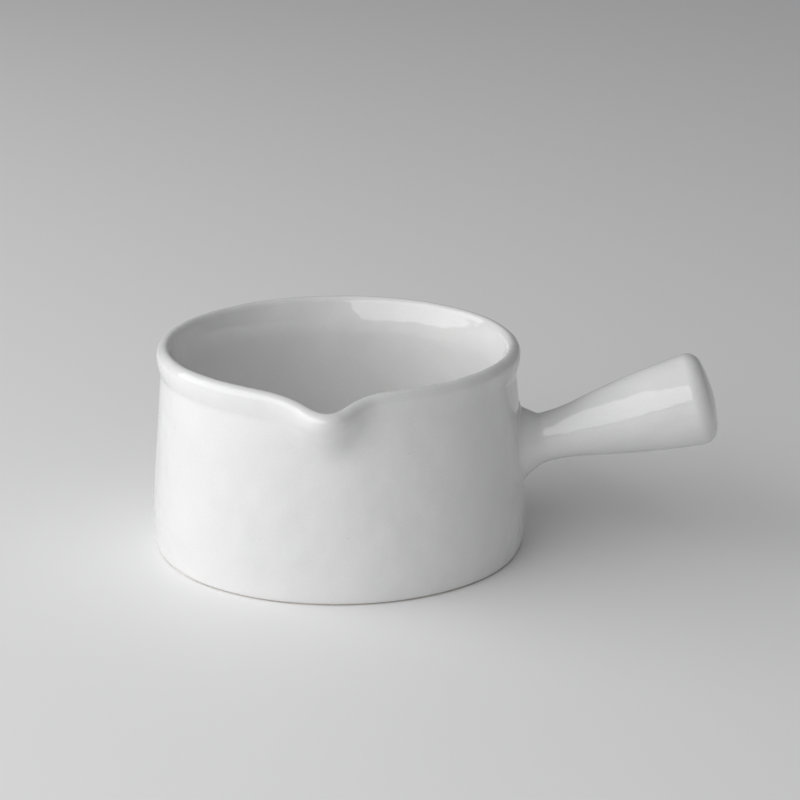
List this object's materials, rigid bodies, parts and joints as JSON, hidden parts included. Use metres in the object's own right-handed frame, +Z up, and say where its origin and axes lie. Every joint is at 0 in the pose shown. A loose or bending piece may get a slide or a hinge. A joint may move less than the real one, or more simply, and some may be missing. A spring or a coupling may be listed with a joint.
{
  "type": "small ceramic saucepan with pouring spout",
  "caption": "Round glazed ceramic pan with a rolled rim, a pulled pouring spout and a flared hollow side handle.",
  "frame": {"origin": "centre of the plane of the foot ring, on the bowl's axis", "axes": "+Z up along the bowl's axis, +X along the handle, the spout points to -Y"},
  "size_m": [0.1716, 0.1234, 0.0635],
  "materials": {
    "bowl_clay": "matte",
    "handle_clay": "matte",
    "slip_clay": "matte",
    "glaze": "gloss",
    "glaze_under_base": "gloss"
  },
  "bodies": {
    "root": {"bowl": "bowl_clay", "handle": "handle_clay", "luting_slip": "slip_clay", "glaze_coat": "glaze", "base_glaze": "glaze_under_base"}
  },
  "joints": []
}
